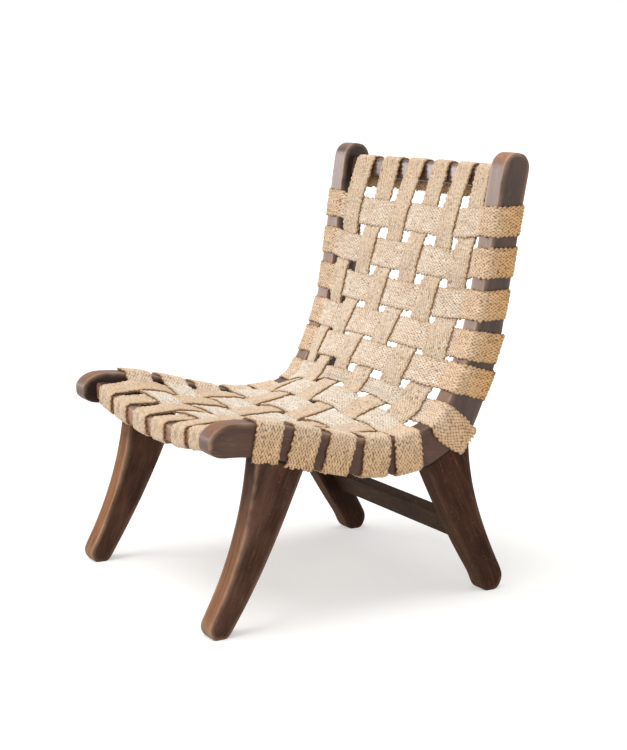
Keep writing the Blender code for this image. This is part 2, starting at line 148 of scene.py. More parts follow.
def plank(name, upper, lower, low, high, wear_and_highlight, inner, front=(0.0, 0.0, 1.0), spots=(), seam=0.0):
    """Extrudes a plank's end face along its two edges, rounds the arrises and smooths the whole, but keeps
    the first end sharp for its joint. Its arris shares tell how far the upper and lower arrises are worn and
    lit with a painted highlight; inner, how dark painted shade makes its inner side; front, how far its
    front is rubbed, and the heights between which that fades, with painted shade on the front above them;
    spots, where it is rubbed round a point; seam, how far from its first end dirt lies in the joint."""
    span = lower - upper
    middle = (upper + lower) / 2
    deep = np.linalg.norm(span, axis=1)
    lean = np.unwrap(np.arctan2(span[:, 1], span[:, 0]))
    bpy.ops.object.select_all(action="DESELECT")
    bpy.ops.mesh.primitive_plane_add(size=1, enter_editmode=True)
    obj = bpy.context.object
    obj.name = name
    here = Vector(((low + high) / 2, *middle[0]))
    bpy.ops.transform.resize(value=(high - low, deep[0], 1))
    bpy.ops.transform.rotate(value=-lean[0], orient_axis="X", center_override=(0, 0, 0))
    bpy.ops.transform.translate(value=here)
    for i in range(1, len(deep)):
        there = Vector(((low + high) / 2, *middle[i]))
        bpy.ops.mesh.extrude_region_move(TRANSFORM_OT_translate={"value": there - here})
        bpy.ops.transform.rotate(value=lean[i - 1] - lean[i], orient_axis="X", center_override=there)
        grow = deep[i] / deep[i - 1]
        bpy.ops.transform.resize(value=(1, grow, grow), center_override=there)
        here = there
    bpy.ops.mesh.select_all(action="SELECT")
    bpy.ops.mesh.normals_make_consistent(inside=False)
    bpy.ops.mesh.select_all(action="DESELECT")
    bpy.ops.mesh.select_mode(type="EDGE")
    bpy.ops.mesh.edges_select_sharp(sharpness=SHARP)
    bpy.ops.object.mode_set(mode="OBJECT")
    for edge in joint_edges(obj.data, upper[0], lower[0]):
        edge.select = False
    bpy.ops.object.mode_set(mode="EDIT")
    bpy.ops.mesh.bevel(offset=ARRIS, segments=2, affect="EDGES", clamp_overlap=True)
    bpy.ops.mesh.select_all(action="DESELECT")
    bpy.ops.object.mode_set(mode="OBJECT")
    for edge in joint_edges(obj.data, upper[0], lower[0]):
        edge.select = True
    bpy.ops.object.mode_set(mode="EDIT")
    bpy.ops.transform.edge_crease(value=1)
    bpy.ops.object.mode_set(mode="OBJECT")
    smooth = obj.modifiers.new("Smooth", "SUBSURF")
    smooth.levels = smooth.render_levels = 2
    bpy.ops.object.modifier_apply(modifier="Smooth")
    bpy.ops.object.shade_smooth()
    points = points_of(obj.data)
    off_face = np.minimum(points[:, 0] - low, high - points[:, 0])
    arris = [share * np.clip(1 - (off_outline(points, edge) + off_face) / ARRIS_REACH, 0, 1)
             for share, edge in zip(wear_and_highlight, (np.vstack((upper, lower[-1:])), lower))]
    set_attribute(obj.data, "arris", np.maximum(*arris))
    facing = np.array([normal.vector for normal in obj.data.vertex_normals])
    ahead = np.clip(-facing[:, 1], 0, 1) ** 2
    # Painted shade on the fronts above their rubbed height and on the sides that face the chair's middle,
    # and dirt along the joint at the first end
    shade_and_joint_dirt = ahead * np.interp(points[:, 2], (front[2], front[2] + FRONT_SHADE_RISE), (0, 1))
    if seam:
        end = (lower[0] - upper[0]) / np.linalg.norm(lower[0] - upper[0])
        off_end = np.abs((points[:, 1] - upper[0, 0]) * end[1] - (points[:, 2] - upper[0, 1]) * end[0])
        shade_and_joint_dirt = np.maximum(shade_and_joint_dirt, np.clip(2 * (1 - off_end / seam), 0, 1))
    inward = np.clip(-facing[:, 0] * np.sign(low + high), 0, 1)
    set_attribute(obj.data, "shade_and_joint_dirt", np.maximum(shade_and_joint_dirt, inner * inward))
    near_floor = np.clip(SCUFF_FULL - points[:, 2] / SCUFF_HEIGHT, 0, 1)
    set_attribute(obj.data, "dust", front[0] * ahead * near_floor)
    rubbed = front[0] * ahead * np.interp(points[:, 2], front[1:], (1, 0))
    for y, z, reach, strength in spots:
        off = np.hypot(points[:, 1] - y, points[:, 2] - z)
        near = np.clip(RUB_FULL * (1 - off / reach), 0, 1)
        rubbed = np.maximum(rubbed, strength * near * (1 - np.abs(facing[:, 0])))
    set_attribute(obj.data, "rubbed", rubbed)
    obj.data.vertices.foreach_set("co", splayed(points).ravel())
    obj.data.update()
    return obj


def colour(code):
    """Linear colour of an sRGB hex code."""
    levels = [int(code[i:i + 2], 16) / 255 for i in (1, 3, 5)]
    return (*[v / 12.92 if v <= 0.04045 else ((v + 0.055) / 1.055) ** 2.4 for v in levels], 1)


def add(material, kind, values=None, links=None):
    """Adds a node, sets its properties and inputs, and links its inputs to other nodes' outputs."""
    node = material.node_tree.nodes.new("ShaderNode" + kind)
    for key, value in (values or {}).items():
        if isinstance(key, int) or key in node.inputs:
            node.inputs[key].default_value = value
        else:
            setattr(node, key, value)
    for key, socket in (links or {}).items():
        material.node_tree.links.new(socket, node.inputs[key])
    return node


def noise(material, scale, detail, place):
    """Adds a noise pattern over a place, which is another node's output."""
    return add(material, "TexNoise", {"Scale": scale, "Detail": detail}, {"Vector": place})


def new_material(name):
    material = bpy.data.materials.new(name)
    material.use_nodes = True
    return material, material.node_tree.nodes["Principled BSDF"]


def along_grain(wide, long):
    """Pattern scale for marks of a width and a length along the grain."""
    return 1 / wide, 1 / long, 1 / wide


def stained_wood(name, turn, dark, light, gloss, roughness):
    """Tropical hardwood, planed, stained dark and waxed by hand: faint streaks and clouds of stain along
    the grain, a soft sheen, and orange wood where the stain is rubbed off. From the pieces' attributes it
    also takes painted shade, dirt in the legs' joints, and pale arrises that are partly wear and partly a
    painted highlight. turn lays the grain."""
    material, shader = new_material(name)
    place = add(material, "TexCoord")
    turned = add(material, "Mapping", {"Rotation": turn}, {"Vector": place.outputs["Object"]})
    # Streaks 5 mm wide and 160 mm long, pores 1.4 mm by 30 mm, and clouds 30 mm by 90 mm
    streak_place = add(material, "Mapping", {"Scale": along_grain(0.005, 0.16)},
                       {"Vector": turned.outputs[0]})
    streaks = noise(material, 1.0, 3.0, streak_place.outputs[0])
    pore_place = add(material, "Mapping", {"Scale": along_grain(0.0014, 0.03)},
                     {"Vector": turned.outputs[0]})
    pores = noise(material, 1.0, 2.0, pore_place.outputs[0])
    cloud_place = add(material, "Mapping", {"Scale": along_grain(0.03, 0.09)},
                      {"Vector": turned.outputs[0]})
    clouds = noise(material, 1.0, 3.0, cloud_place.outputs[0])
    cloud = add(material, "MapRange", {"From Min": 0.34, "From Max": 0.66},
                {"Value": clouds.outputs["Fac"]})
    body = add(material, "MixRGB", {"Color1": colour(dark), "Color2": colour(light)},
               {"Fac": cloud.outputs[0]})
    streak = add(material, "MapRange", {"From Min": 0.52, "From Max": 0.74, "To Max": 0.22},
                 {"Value": streaks.outputs["Fac"]})
    streaked = add(material, "MixRGB", {"Color2": colour("#7A4A32")},
                   {"Fac": streak.outputs[0], "Color1": body.outputs[0]})
    pore = add(material, "MapRange", {"From Min": 0.58, "From Max": 0.72, "To Max": 0.35},
               {"Value": pores.outputs["Fac"]})
    pored = add(material, "MixRGB", {"Color2": colour("#231713")},
                {"Fac": pore.outputs[0], "Color1": streaked.outputs[0]})
    # Scratches 2 mm wide and 36 mm long and nicks of 4 mm show the paler wood. Real ones are finer, and
    # these are as coarse as they need to be to show.
    scratch_place = add(material, "Mapping", {"Scale": along_grain(0.002, 0.036), "Rotation": (0.12, 0, 0)},
                        {"Vector": turned.outputs[0]})
    scratches = noise(material, 1.0, 1.0, scratch_place.outputs[0])
    scratch = add(material, "MapRange", {"From Min": 0.65, "From Max": 0.74, "To Max": 0.22},
                  {"Value": scratches.outputs["Fac"]})
    nicks = noise(material, 1 / 0.004, 3.0, place.outputs["Object"])
    nick = add(material, "MapRange", {"From Min": 0.66, "From Max": 0.74, "To Max": 0.4},
               {"Value": nicks.outputs["Fac"]})
    mark = add(material, "Math", {"operation": "MAXIMUM"}, {0: scratch.outputs[0], 1: nick.outputs[0]})
    marked = add(material, "MixRGB", {"Color2": colour("#8E715C")},
                 {"Fac": mark.outputs[0], "Color1": pored.outputs[0]})
    # Painted shade darkens the sides that face the chair's middle and the fronts above their rubbed height,
    # and dirt darkens the legs' joints under the rails
    shade_and_joint_dirt = add(material, "Attribute", {"attribute_name": "shade_and_joint_dirt"})
    darkening = add(material, "Math", {"operation": "MULTIPLY", 1: 0.8}, {0: shade_and_joint_dirt.outputs["Fac"]})
    darker = add(material, "MixRGB", {"Color2": colour("#1A110D")},
                 {"Fac": darkening.outputs[0], "Color1": marked.outputs[0]})
    # The arrises are rubbed through in stretches of about 50 mm; their pale colour is partly that wear and
    # partly a painted highlight
    arris = add(material, "Attribute", {"attribute_name": "arris"})
    stretches = noise(material, 1 / 0.05, 4.0, place.outputs["Object"])
    stretch = add(material, "MapRange", {"From Min": 0.30, "From Max": 0.64, "To Max": 0.8},
                  {"Value": stretches.outputs["Fac"]})
    thin = add(material, "Math", {"operation": "MULTIPLY"},
               {0: arris.outputs["Fac"], 1: stretch.outputs[0]})
    # Floors have scuffed the feet grey
    dust = add(material, "Attribute", {"attribute_name": "dust"})
    scuff = add(material, "Math", {"operation": "MULTIPLY"},
                {0: dust.outputs["Fac"], 1: stretch.outputs[0]})
    # Hands and feet have rubbed the stain off noses, crowns and the fronts of legs
    rubbed = add(material, "Attribute", {"attribute_name": "rubbed"})
    uneven = add(material, "MapRange", {"From Min": 0.30, "From Max": 0.62, "To Min": 0.45, "To Max": 1.15},
                 {"Value": streaks.outputs["Fac"]})
    bare = add(material, "Math", {"operation": "MULTIPLY"},
               {0: rubbed.outputs["Fac"], 1: uneven.outputs[0]})
    wear_and_highlight = add(material, "Math", {"operation": "MAXIMUM", "use_clamp": True},
               {0: thin.outputs[0], 1: bare.outputs[0]})
    orange = add(material, "MixRGB", {"use_clamp": True, "Color2": colour("#A07150")},
                 {"Fac": bare.outputs[0], "Color1": darker.outputs[0]})
    # Pale arrises: wear, with a painted highlight on it
    pale = add(material, "MixRGB", {"Color2": colour("#BE9A82")},
               {"Fac": thin.outputs[0], "Color1": orange.outputs[0]})
    tone = add(material, "MixRGB", {"Color2": colour("#A39884")},
               {"Fac": scuff.outputs[0], "Color1": pale.outputs[0]})
    # The wax is a little duller where the stain is thin, and duller still where the wood is worn
    dullest = roughness + 0.08
    sheen = add(material, "MapRange",
                {"From Min": 0.3, "From Max": 0.7, "To Min": roughness, "To Max": dullest},
                {"Value": clouds.outputs["Fac"]})
    dulled = add(material, "MapRange", {"To Max": 0.3}, {"Value": wear_and_highlight.outputs[0]})
    rough = add(material, "Math", {"operation": "ADD"}, {0: sheen.outputs[0], 1: dulled.outputs[0]})
    relief = add(material, "Bump", {"Strength": 0.2, "Distance": 0.0005, "invert": True},
                 {"Height": pores.outputs["Fac"]})
    links = material.node_tree.links
    links.new(tone.outputs[0], shader.inputs["Base Color"])
    links.new(rough.outputs[0], shader.inputs["Roughness"])
    links.new(relief.outputs[0], shader.inputs["Normal"])
    shader.inputs["Specular IOR Level"].default_value = gloss
    shader.inputs["Specular Tint"].default_value = colour("#FFF0EA")
    return material


def fit(obj, material, slot, *nodes):
    """Gives a finished piece its material, and sets it in the place of its parts of the frame."""
    obj.data.materials.clear()
    obj.data.materials.append(material)
    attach(obj, "root")
    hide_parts(*nodes)


CHIN_START = 0.2


def nose(t):
    """Upper and lower points of the rounded nose, t from 0 where it starts to 1 at its tip."""
    top_y, top_z = EDGE_MARKS[0]
    tip = top_z - NOSE_DROP
    brow = math.radians(90 * t)
    chin = math.radians(90 * max(0, (t - CHIN_START) / (1 - CHIN_START)))
    chin_y = top_y - NOSE_REACH + NOSE_CHIN
    start = top_y + (chin_y - top_y) * min(1, t / CHIN_START)
    upper = (top_y - NOSE_REACH * math.sin(brow), tip + NOSE_DROP * math.cos(brow))
    lower = (start - NOSE_CHIN * math.sin(chin), tip - (EDGE_DEPTHS[0] - NOSE_DROP) * math.cos(chin))
    return upper, lower


def crown(t):
    """Front and rear points of the post's half-round top, t from 0 where it starts to 1 at its tip."""
    radius = EDGE_DEPTHS[-1] / 2
    centre = on_frame(ALONG[-1], -radius)
    turns = [math.radians(EDGE_HEADINGS[-1] + side * 90 * (1 - t)) for side in (1, -1)]
    return [centre + radius * np.array((math.cos(a), math.sin(a))) for a in turns]


FRAME_ROWS = 16
NOSE_STEPS = (0.2, 0.4, 0.57, 0.72, 0.86)
CROWN_STEPS = (0.2, 0.4, 0.58, 0.74, 0.86)
# How far the upper and lower arrises are worn and lit with a painted highlight, and how dark painted
# shade makes the inner sides
RAIL_ARRISES = (1, 0)
POST_ARRISES = (1, 0.6)
INNER_SHADE = 1
# Rubbed spots: place, reach and strength. Rubbed fronts: strength, and the heights between which it fades.
NOSE_RUBS = ((-0.006, 0.306, 0.018, 0.7), (0.012, 0.356, 0.052, 0.5))
POST_RUBS = {"left": (0.55, 0.3, 1.2), "right": (0.55, 0.52, 0.85)}
CROWN_RUBS = {"left": (0.549, 0.772, 0.034, 0.9), "right": (0.556, 0.779, 0.030, 0.3)}
SEAT_GRAIN = (math.radians(7), 0, 0)
BACK_GRAIN = (math.radians(-80), 0, 0)
seat_wood = stained_wood("dark_stained_hardwood_seat", SEAT_GRAIN, "#453029", "#5A4237", 0.3, 0.36)
back_wood = stained_wood("dark_stained_hardwood_back", BACK_GRAIN, "#3A2A24", "#4E3A32", 0.5, 0.27)
for side, label in ((1, "left"), (-1, "right")):
    low, high = sorted((side * INNER, side * HALF_WIDTH))
    rows = np.linspace(BEND_JOINT - JOINT_GAP, 0, FRAME_ROWS)
    tip = np.array([nose(t) for t in NOSE_STEPS])
    rail = plank(f"{label}_seat_rail", np.vstack((on_frame(rows, 0 * rows), tip[:, 0])),
                 np.vstack((under(rows), tip[:, 1])), low, high, RAIL_ARRISES, INNER_SHADE, spots=NOSE_RUBS)
    fit(rail, seat_wood, "dark_stained_wood", f"seat_rail_{label}")
    rows = np.linspace(BEND_JOINT + JOINT_GAP, ALONG[-1], FRAME_ROWS)
    tip = np.array([crown(t) for t in CROWN_STEPS])
    post = plank(f"{label}_back_post", np.vstack((on_frame(rows, 0 * rows), tip[:, 0])),
                 np.vstack((under(rows), tip[:, 1])), low, high, POST_ARRISES, INNER_SHADE,
                 POST_RUBS[label], [CROWN_RUBS[label]])
    fit(post, back_wood, "dark_stained_wood", f"back_post_{label}")

# Sabre legs, sawn from the same boards. Each is dowelled under its seat rail, sweeps forward or back to a
# smaller foot, and is rounded before and behind its narrow flat sole.
# top: where a leg meets the rail, along the rail's edge; turns: the headings of its rear and front edges
FRONT_LEG = {"top": (0.0535, 0.154), "heel": (0.0363, 0.0215), "toe": (-0.0102, 0.0239),
             "sole": (0.001, 0.014), "turns": (-113.0, -123.0, 60.0, 86.0)}
REAR_LEG = {"top": (0.3678, 0.417), "heel": (0.5707, 0.0333), "toe": (0.5180, 0.0315),
            "sole": (0.541, 0.555), "turns": (-88.0, -61.4, 123.0, 115.5)}
# The right front leg stands this much further back at its top
RIGHT_SHIFT = 0.008
# How far the legs' fronts are rubbed, with the heights between which that fades and above which painted
# shade darkens them, and how far their arrises are worn and lit with a painted highlight
LEG_RUBS = {"left_front": (0.85, 0.05, 0.25), "right_front": (0.9, 0.20, 0.34), "rear": (0.2, 0.05, 0.24)}
LEG_ARRISES = {"front": (1, 0.6), "rear": (0.15, 0.3)}
# How dark painted shade makes the legs' inner sides
LEG_INNER_SHADE = 0.2
LEG_STEPS = 10
FOOT_STEPS = 4
LEG_LAP = 0.0022
SEAM_REACH = 0.0048
SEAM_STEP = 0.09
SOLE_SINK = 0.0015


def seamed(edge):
    """An edge with one more point just past its start, so that the dirt in the joint can end there."""
    return np.vstack((edge[0], edge[0] + SEAM_STEP * (edge[1] - edge[0]), edge[1:]))


def leg(name, sizes, low, high, wear_and_highlight, rub, shift=0.0):
    """A leg from just inside the rail above it to its sole. shift moves its top along the rail."""
    starts = [under(s + shift) for s in sizes["top"]]
    across = starts[1] - starts[0]
    raised = LEG_LAP * np.array((-across[1], across[0])) / np.linalg.norm(across)
    turns = sizes["turns"]
    front = sweep(sizes["toe"], turns[2], starts[0], turns[3], LEG_STEPS)[::-1]
    rear = sweep(starts[1], turns[0], sizes["heel"], turns[1], LEG_STEPS)
    toe = sweep((sizes["sole"][0], -SOLE_SINK), 180, sizes["toe"], turns[2], FOOT_STEPS)[::-1]
    heel = sweep(sizes["heel"], turns[1], (sizes["sole"][1], -SOLE_SINK), -180, FOOT_STEPS)
    upper = np.vstack((starts[0] + raised, seamed(front), toe[1:]))
    lower = np.vstack((starts[1] + raised, seamed(rear), heel[1:]))
    obj = plank(name, upper, lower, low, high, wear_and_highlight, LEG_INNER_SHADE, rub, seam=SEAM_REACH)
    points = points_of(obj.data)
    points[:, 2] = np.maximum(points[:, 2], 0)
    obj.data.vertices.foreach_set("co", points.ravel())
    obj.data.update()
    return obj


FRONT_LEG_GRAIN = (math.radians(-68), 0, 0)
REAR_LEG_GRAIN = (math.radians(64), 0, 0)
front_leg_wood = stained_wood("dark_stained_hardwood_front_leg", FRONT_LEG_GRAIN,
                              "#3A271E", "#604438", 0.12, 0.72)
# The rear legs' tones are darker than the front legs': partly their own wood, partly painted shade from the
# seat
shaded_rear_leg_wood = stained_wood("dark_stained_hardwood_rear_leg_shaded", REAR_LEG_GRAIN,
                             "#2E1D15", "#482E22", 0.1, 0.66)
for side, label in ((1, "left"), (-1, "right")):
    low, high = sorted((side * INNER, side * HALF_WIDTH))
    shift = RIGHT_SHIFT if side < 0 else 0.0
    front = leg(f"{label}_front_leg", FRONT_LEG, low, high, LEG_ARRISES["front"],
                LEG_RUBS[f"{label}_front"], shift)
    fit(front, front_leg_wood, "dark_stained_wood", f"front_leg_{label}")
    rear = leg(f"{label}_rear_leg", REAR_LEG, low, high, LEG_ARRISES["rear"], LEG_RUBS["rear"])
    fit(rear, shaded_rear_leg_wood, "dark_stained_wood", f"rear_leg_{label}")

# Cross rails between the side frames, of the same wood, each tenoned into both. The front rail dips and the
# top rail bows back under the pull of the webbing; the stretcher between the rear legs is straight.
# Middle, thickness and height of each, and its tilt in degrees
FRONT_RAIL = (0.022, 0.326, 0.028, 0.032)
TOP_RAIL = (0.5605, 0.7258, 0.020, 0.038)
STRETCHER = (0.5135, 0.1088, 0.022, 0.0447)
FRONT_RAIL_ANGLE = 0.0
TOP_RAIL_ANGLE = 10.5
STRETCHER_ANGLE = -25.0
FRONT_RAIL_DIP = 0.0235
TOP_RAIL_BOW = 0.020
RAIL_ROUND = 0.006
STRETCHER_ROUND = 0.002
RAIL_STEPS = 16
RAIL_LAP = 0.002
FRONT_RAIL_RUB = 0.7


def arch(x):
    """Share of a rail's curve across the chair: 1 in the middle, 0 at the side frames."""
    return 1 - np.minimum(1, np.abs(x) / INNER) ** 2


def cross_rail(name, member, tilt, radius, back, dip, rub):
    """Extrudes a rail's end face across the chair along its curve, and rounds its long edges. rub is how
    far the stain is gone from its front."""
    y, z, thick, tall = member
    across = np.linspace(-INNER - RAIL_LAP, INNER + RAIL_LAP, RAIL_STEPS + 1)
    route = [Vector((x, y + back * arch(x), z - dip * arch(x))) for x in across]
    bpy.ops.object.select_all(action="DESELECT")
    bpy.ops.mesh.primitive_plane_add(size=1, enter_editmode=True)
    obj = bpy.context.object
    obj.name = name
    bpy.ops.transform.resize(value=(tall, thick, 1))
    bpy.ops.transform.rotate(value=math.radians(90), orient_axis="Y", center_override=(0, 0, 0))
    bpy.ops.transform.rotate(value=math.radians(tilt), orient_axis="X", center_override=(0, 0, 0))
    bpy.ops.transform.translate(value=route[0])
    for here, there in zip(route, route[1:]):
        bpy.ops.mesh.extrude_region_move(TRANSFORM_OT_translate={"value": there - here})
    bpy.ops.mesh.select_all(action="SELECT")
    bpy.ops.mesh.normals_make_consistent(inside=False)
    bpy.ops.mesh.select_all(action="DESELECT")
    bpy.ops.mesh.select_mode(type="EDGE")
    bpy.ops.mesh.edges_select_sharp(sharpness=SHARP)
    bpy.ops.mesh.bevel(offset=radius, segments=3, affect="EDGES", clamp_overlap=True)
    bpy.ops.object.mode_set(mode="OBJECT")
    smooth = obj.modifiers.new("Smooth", "SUBSURF")
    smooth.levels = smooth.render_levels = 1
    bpy.ops.object.modifier_apply(modifier="Smooth")
    bpy.ops.object.shade_smooth()
    points = points_of(obj.data)
    ahead = np.array([normal.vector.y for normal in obj.data.vertex_normals])
    for absent in ("arris", "shade_and_joint_dirt", "dust"):
        set_attribute(obj.data, absent, np.zeros(len(points)))
    set_attribute(obj.data, "rubbed", rub * np.clip(-ahead, 0, 1))
    obj.data.vertices.foreach_set("co", splayed(points).ravel())
    obj.data.update()
    return obj


RAIL_GRAIN = (0, 0, math.radians(90))
rail_wood = stained_wood("dark_stained_hardwood_rail", RAIL_GRAIN, "#46322A", "#5E483E", 0.7, 0.26)
stretcher_wood = stained_wood("dark_stained_hardwood_stretcher", RAIL_GRAIN,
                              "#34251B", "#483525", 0.05, 0.5)
members = (("front_rail", rail_wood, FRONT_RAIL, FRONT_RAIL_ANGLE, RAIL_ROUND,
            0.0, FRONT_RAIL_DIP, FRONT_RAIL_RUB),
           ("top_rail", rail_wood, TOP_RAIL, TOP_RAIL_ANGLE, RAIL_ROUND, TOP_RAIL_BOW, 0.0, 0.0),
           ("rear_stretcher", stretcher_wood, STRETCHER, STRETCHER_ANGLE, STRETCHER_ROUND, 0.0, 0.0, 0.0))
for node, material, *sizes in members:
    fit(cross_rail(f"{node}_wood", *sizes), material, "dark_stained_wood", node)

# Joinery that the wood hides: two dowels at the top of each leg and a loose tongue in each bend, of plain
# beech, glued in. They stay as the frame holds them.
beech, beech_shader = new_material("plain_beech")
beech_place = add(beech, "TexCoord")
# Flecks 1 mm wide and 6 mm tall
beech_flecks = add(beech, "Mapping", {"Scale": (1 / 0.001, 1 / 0.001, 1 / 0.006)},
                   {"Vector": beech_place.outputs["Object"]})
beech_noise = noise(beech, 1.0, 3.0, beech_flecks.outputs[0])
beech_tone = add(beech, "MixRGB", {"Color1": colour("#C79A6B"), "Color2": colour("#A97E52")},
                 {"Fac": beech_noise.outputs["Fac"]})
beech.node_tree.links.new(beech_tone.outputs[0], beech_shader.inputs["Base Color"])
beech_shader.inputs["Roughness"].default_value = 0.65
for name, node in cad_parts.items():
    if "dowel" in name or "tongue" in name:
        node.data.materials.clear()
        node.data.materials.append(beech)

# Lengthwise webbing: six straps of two-inch jute webbing. Each is tacked behind the front rail, turns under
# and over it, runs through the cross straps to the top rail, and turns over that to a short tail behind.
STRAP_WIDTH = 0.051
STRAP_THICK = 0.0040
LIFT = 0.0003 + STRAP_THICK / 2
CROSSING = 0.0025
LONG_FRONT = (-0.189, -0.1205, -0.0364, 0.0392, 0.1205, 0.1905)
LONG_TOP = (-0.198, -0.116, -0.0367, 0.0444, 0.1275, 0.1995)
CROSS_AT = (0.0674, 0.1409, 0.2108, 0.2813, 0.3403, 0.4135, 0.4851, 0.5452, 0.6151, 0.6871, 0.7591)
SINK_AT = (0.100, 0.290, 0.355, 0.447, 0.600, 0.830)
RIM_SINK = (0.011, 0.006, 0.005, 0.004, 0.004, 0.0125)
DISH = (FRONT_RAIL_DIP, -0.012, -0.036, -0.041, -0.017, TOP_RAIL_BOW)
FRONT_TUCK = 0.020
TOP_TAIL = 0.008
# Where a strap starts to ease over between two crossings, and over what share of the way
EASE_START = 0.22
EASE_SPAN = 0.56
# Eighteen yarns lie side by side in a strap. Each runs over and under the cross threads by turns, against
# its neighbours, so it shows as a row of grains with a pit at every dive; the pits' dark colour is painted
# shade.
YARNS = 18
WEFT = 0.0047
WEFT_STEPS = 3
YARN_STEPS = 3
SMOOTH_PASSES = 3
RELIEF = 0.0020
RELIEF_MIDDLE = 0.6
# A yarn's height in a pit, the shares of its rise and of its round top on a crest, and how far it swells
PIT = -0.2
CREST_RISE = 0.42
CREST_ROUND = 0.58
SWELL = 0.16
# Chance wanders: after how many points each changes, and how far it goes. The slips are in cross threads,
# the plumpness is a share of a yarn's height, and the others are in metres.
STRAP_SLIP = (14, 0.3)
YARN_SLIP = (8, 0.16)
YARN_PLUMP = (4, 0.26)
EDGE_WANDER = (3, 0.0011)
SIDE_WANDER = (60, 0.0008)
# The selvedges, in shares of half a strap's width: where it rounds off, where its colour changes, and where
# its rim begins. At the rim are left a thickness, of which ROUND_LEAST is the square, a paling and a height.
# The low paling and height give the rim the dark pit colour, as painted shade and some dirt.
ROUND_START = 0.90
ROUND_SPAN = 0.125
ROUND_LEAST = 0.15
SELVEDGE_START = 0.8
SELVEDGE_SPAN = 0.2
RIM_START = 0.97
RIM_PALED = 0.3
EDGE_RELIEF = 0.05
SCALLOP = 0.0007
RAGGED = 0.0045
UNDER_PALED = 0.35
chance = np.random.default_rng(7)


def over(j, k):
    """+1 where lengthwise strap j, counted from 1, passes over cross strap k, else -1."""
    return 1 if (j + k) % 2 == 0 else -1


def weave_level(place, centres, levels):
    """Height between -1 and 1 along a strap: level on each crossing, easing over in the gaps between."""
    i = np.clip(np.searchsorted(centres, place) - 1, 0, len(centres) - 2)
    t = np.clip((place - centres[i]) / (centres[i + 1] - centres[i]), 0, 1)
    t = np.clip((t - EASE_START) / EASE_SPAN, 0, 1)
    t = t * t * (3 - 2 * t)
    levels = np.asarray(levels)
    return levels[i] * (1 - t) + levels[i + 1] * t


def smooth_through(s, places, values):
    """A smooth curve through values at places along the frames' edge."""
    places, values = np.asarray(places), np.asarray(values)
    slopes = np.gradient(values, places)
    slopes[0] = 0
    i = np.clip(np.searchsorted(places, s) - 1, 0, len(places) - 2)
    width = places[i + 1] - places[i]
    t = np.clip((s - places[i]) / width, 0, 1)
    smooth = t * t * (3 - 2 * t)
    bulge = width * t * (1 - t) * ((1 - t) * slopes[i] - t * slopes[i + 1])
    return values[i] * (1 - smooth) + values[i + 1] * smooth + bulge


def webbing_place(x, s, level):
    """Points of the woven surface between the frames, before splaying."""
    sink = smooth_through(s, SINK_AT, RIM_SINK) + smooth_through(s, SINK_AT, DISH) * arch(x)
    return np.concatenate((x[..., None], on_frame(s, LIFT + level * CROSSING - sink)), -1)


def wavering(count, spacing, reach):
    """Smooth chance wander along a strap: a value at each of count points, changing after every spacing."""
    knots = chance.normal(0, 1, int(count / spacing) + 4)
    at = np.arange(count) / spacing + 1
    i = at.astype(int)
    t = at - i
    t = t * t * (3 - 2 * t)
    return reach * (knots[i] * (1 - t) + knots[i + 1] * t)


def grains(u, v, slip, side):
    """Height of the woven yarns, about 0 in the pits to 1 on the crests. u counts yarns across a strap, v
    cross threads along it. A yarn swells where it comes up to this side, and is pinched between its
    neighbours below."""
    height = np.full((len(v), len(u)), PIT)
    for step in (-1, 0, 1):
        yarn = np.clip(np.floor(u).astype(int) + step, 0, YARNS - 1)
        off = u - yarn - 0.5
        dive = (1 - side * np.cos(np.pi * (v[:, None] + yarn + slip[yarn].T))) / 2
        lift = 1 - 2 * dive ** 2
        off = off / (0.5 + SWELL * lift)
        round_top = np.sqrt(np.clip(1 - off ** 2, 0, 1))
        crest = CREST_RISE * lift + CREST_ROUND * round_top
        height = np.maximum(height, np.where(np.abs(off) < 1, crest, PIT))
    return height


